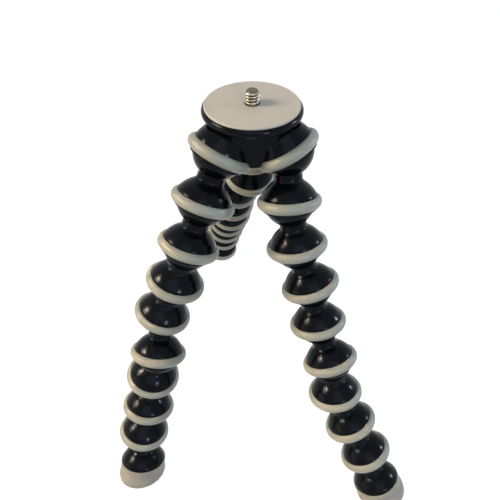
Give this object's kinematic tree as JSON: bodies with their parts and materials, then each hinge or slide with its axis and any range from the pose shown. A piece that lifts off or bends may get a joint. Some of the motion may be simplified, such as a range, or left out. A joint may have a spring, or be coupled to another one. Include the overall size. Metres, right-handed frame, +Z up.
{
  "type": "flexible leg tripod",
  "caption": "Small camera tripod whose legs are chains of ball-and-socket links with rubber grip rings and rubber feet, under a round screw platform.",
  "frame": {"origin": "base of the camera screw's stem, at the centre of the platform pad's top face", "axes": "+Z up along the camera screw, -Y towards the blank front panel between the front legs, +X to the viewer's right"},
  "size_m": [0.1783, 0.2433, 0.224],
  "materials": {
    "black_plastic": "satin moulded black plastic",
    "rim_plastic": "glossy moulded black plastic",
    "pad_rubber": "matt light grey rubber",
    "ring_rubber": "matt warm grey rubber",
    "foot_rubber": "matt warm grey rubber",
    "screw_steel": "plated steel"
  },
  "bodies": {
    "hub": {"hub_body": "black_plastic", "platform": "rim_plastic", "platform_pad": "pad_rubber", "camera_screw": "screw_steel", "shoulder_rings": "ring_rubber"},
    "left_segment_1": {"left_link_1": "black_plastic", "left_ring_1": "ring_rubber"},
    "left_segment_2": {"left_link_2": "black_plastic", "left_ring_2": "ring_rubber"},
    "left_segment_3": {"left_link_3": "black_plastic", "left_ring_3": "ring_rubber"},
    "left_segment_4": {"left_link_4": "black_plastic", "left_ring_4": "ring_rubber"},
    "left_segment_5": {"left_link_5": "black_plastic", "left_ring_5": "ring_rubber"},
    "left_segment_6": {"left_link_6": "black_plastic", "left_ring_6": "ring_rubber"},
    "left_segment_7": {"left_link_7": "black_plastic", "left_ring_7": "ring_rubber"},
    "left_segment_8": {"left_link_8": "black_plastic", "left_ring_8": "ring_rubber"},
    "left_foot": {"left_foot_link": "black_plastic", "left_foot_pad": "foot_rubber"},
    "right_segment_1": {"right_link_1": "black_plastic", "right_ring_1": "ring_rubber"},
    "right_segment_2": {"right_link_2": "black_plastic", "right_ring_2": "ring_rubber"},
    "right_segment_3": {"right_link_3": "black_plastic", "right_ring_3": "ring_rubber"},
    "right_segment_4": {"right_link_4": "black_plastic", "right_ring_4": "ring_rubber"},
    "right_segment_5": {"right_link_5": "black_plastic", "right_ring_5": "ring_rubber"},
    "right_segment_6": {"right_link_6": "black_plastic", "right_ring_6": "ring_rubber"},
    "right_segment_7": {"right_link_7": "black_plastic", "right_ring_7": "ring_rubber"},
    "right_segment_8": {"right_link_8": "black_plastic", "right_ring_8": "ring_rubber"},
    "right_foot": {"right_foot_link": "black_plastic", "right_foot_pad": "foot_rubber"},
    "rear_segment_1": {"rear_link_1": "black_plastic", "rear_ring_1": "ring_rubber"},
    "rear_segment_2": {"rear_link_2": "black_plastic", "rear_ring_2": "ring_rubber"},
    "rear_segment_3": {"rear_link_3": "black_plastic", "rear_ring_3": "ring_rubber"},
    "rear_segment_4": {"rear_link_4": "black_plastic", "rear_ring_4": "ring_rubber"},
    "rear_segment_5": {"rear_link_5": "black_plastic", "rear_ring_5": "ring_rubber"},
    "rear_segment_6": {"rear_link_6": "black_plastic", "rear_ring_6": "ring_rubber"},
    "rear_segment_7": {"rear_link_7": "black_plastic", "rear_ring_7": "ring_rubber"},
    "rear_segment_8": {"rear_link_8": "black_plastic", "rear_ring_8": "ring_rubber"},
    "rear_foot": {"rear_foot_link": "black_plastic", "rear_foot_pad": "foot_rubber"}
  },
  "joints": [
    {"name": "left_joint_1", "type": "hinge", "parent": "hub", "child": "left_segment_1", "pos_m": [-0.01472, -0.0085, -0.018], "axis": [0.2269, 0.8681, -0.4415], "range_deg": [-22, 37]},
    {"name": "left_joint_2", "type": "hinge", "parent": "left_segment_1", "child": "left_segment_2", "pos_m": [-0.02361, -0.01647, -0.03824], "axis": [0.5418, -0.8355, 0.091], "range_deg": [-30, 29]},
    {"name": "left_joint_3", "type": "hinge", "parent": "left_segment_2", "child": "left_segment_3", "pos_m": [-0.0322, -0.02426, -0.05868], "axis": [-0.9251, 0.0253, 0.3789], "range_deg": [-19, 40]},
    {"name": "left_joint_4", "type": "hinge", "parent": "left_segment_3", "child": "left_segment_4", "pos_m": [-0.04108, -0.02797, -0.08012], "axis": [0.2207, 0.9416, -0.2543], "range_deg": [-31, 28]},
    {"name": "left_joint_5", "type": "hinge", "parent": "left_segment_4", "child": "left_segment_5", "pos_m": [-0.05048, -0.0315, -0.10137], "axis": [0.8189, 0.3843, -0.4262], "range_deg": [-4, 55]},
    {"name": "left_joint_6", "type": "hinge", "parent": "left_segment_5", "child": "left_segment_6", "pos_m": [-0.05489, -0.04378, -0.12091], "axis": [0.9511, 0.1148, -0.2869], "range_deg": [-58, 1]},
    {"name": "left_joint_7", "type": "hinge", "parent": "left_segment_6", "child": "left_segment_7", "pos_m": [-0.06151, -0.04523, -0.14342], "axis": [0.9538, 0.0918, -0.2862], "range_deg": [-12, 47]},
    {"name": "left_joint_8", "type": "hinge", "parent": "left_segment_7", "child": "left_segment_8", "pos_m": [-0.06707, -0.05362, -0.16465], "axis": [0.9462, 0.1264, -0.2979], "range_deg": [-35, 24]},
    {"name": "left_joint_9", "type": "hinge", "parent": "left_segment_8", "child": "left_foot", "pos_m": [-0.0731, -0.05994, -0.18647], "axis": [0.8683, 0.3579, -0.3434], "range_deg": [-14, 45]},
    {"name": "right_joint_1", "type": "hinge", "parent": "hub", "child": "right_segment_1", "pos_m": [0.01472, -0.0085, -0.018], "axis": [-0.1061, 0.9167, -0.3853], "range_deg": [-57, 2]},
    {"name": "right_joint_2", "type": "hinge", "parent": "right_segment_1", "child": "right_segment_2", "pos_m": [0.01577, -0.01749, -0.03969], "axis": [-0.5126, 0.7841, -0.35], "range_deg": [-21, 38]},
    {"name": "right_joint_3", "type": "hinge", "parent": "right_segment_2", "child": "right_segment_3", "pos_m": [0.01993, -0.0246, -0.0617], "axis": [-0.3308, -0.9145, 0.233], "range_deg": [-38, 21]},
    {"name": "right_joint_4", "type": "hinge", "parent": "right_segment_3", "child": "right_segment_4", "pos_m": [0.02713, -0.03254, -0.08261], "axis": [0.2785, -0.8623, 0.4229], "range_deg": [-23, 36]},
    {"name": "right_joint_5", "type": "hinge", "parent": "right_segment_4", "child": "right_segment_5", "pos_m": [0.03191, -0.0414, -0.10384], "axis": [-0.8769, -0.4806, 0.0031], "range_deg": [-40, 19]},
    {"name": "right_joint_6", "type": "hinge", "parent": "right_segment_5", "child": "right_segment_6", "pos_m": [0.03854, -0.05361, -0.1228], "axis": [-0.8451, -0.5325, 0.0477], "range_deg": [-17, 42]},
    {"name": "right_joint_7", "type": "hinge", "parent": "right_segment_6", "child": "right_segment_7", "pos_m": [0.04268, -0.06211, -0.14431], "axis": [-0.4723, -0.8471, 0.2435], "range_deg": [-45, 14]},
    {"name": "right_joint_8", "type": "hinge", "parent": "right_segment_7", "child": "right_segment_8", "pos_m": [0.05218, -0.07277, -0.16298], "axis": [0.912, 0.2654, 0.3127], "range_deg": [-28, 31]},
    {"name": "right_joint_9", "type": "hinge", "parent": "right_segment_8", "child": "right_foot", "pos_m": [0.06171, -0.08392, -0.18133], "axis": [0.209, 0.8803, -0.426], "range_deg": [-34, 25]},
    {"name": "rear_joint_1", "type": "hinge", "parent": "hub", "child": "rear_segment_1", "pos_m": [0, 0.017, -0.018], "axis": [-0.932, -0.2969, -0.2079], "range_deg": [-43, 16]},
    {"name": "rear_joint_2", "type": "hinge", "parent": "rear_segment_1", "child": "rear_segment_2", "pos_m": [0.00205, 0.02577, -0.03971], "axis": [-0.1238, -0.9159, -0.3817], "range_deg": [-21, 38]},
    {"name": "rear_joint_3", "type": "hinge", "parent": "rear_segment_2", "child": "rear_segment_3", "pos_m": [0.00082, 0.03494, -0.06131], "axis": [0.5209, 0.796, 0.3082], "range_deg": [-50, 9]},
    {"name": "rear_joint_4", "type": "hinge", "parent": "rear_segment_3", "child": "rear_segment_4", "pos_m": [-0.00722, 0.04729, -0.07962], "axis": [0.4489, 0.8197, 0.3558], "range_deg": [-15, 44]},
    {"name": "rear_joint_5", "type": "hinge", "parent": "rear_segment_4", "child": "rear_segment_5", "pos_m": [-0.01008, 0.05788, -0.1004], "axis": [0.7949, -0.4893, -0.3589], "range_deg": [-34, 25]},
    {"name": "rear_joint_6", "type": "hinge", "parent": "rear_segment_5", "child": "rear_segment_6", "pos_m": [-0.01172, 0.06995, -0.12049], "axis": [-0.8903, -0.4188, -0.179], "range_deg": [-25, 34]},
    {"name": "rear_joint_7", "type": "hinge", "parent": "rear_segment_6", "child": "rear_segment_7", "pos_m": [-0.01418, 0.08336, -0.13964], "axis": [-0.9945, -0.0577, 0.0872], "range_deg": [-32, 27]},
    {"name": "rear_joint_8", "type": "hinge", "parent": "rear_segment_7", "child": "rear_segment_8", "pos_m": [-0.01664, 0.09574, -0.15946], "axis": [0.942, -0.2196, -0.254], "range_deg": [-26, 33]},
    {"name": "rear_joint_9", "type": "hinge", "parent": "rear_segment_8", "child": "rear_foot", "pos_m": [-0.0195, 0.10705, -0.17986], "axis": [-0.9885, -0.1376, 0.0625], "range_deg": [-39, 20]}
  ]
}
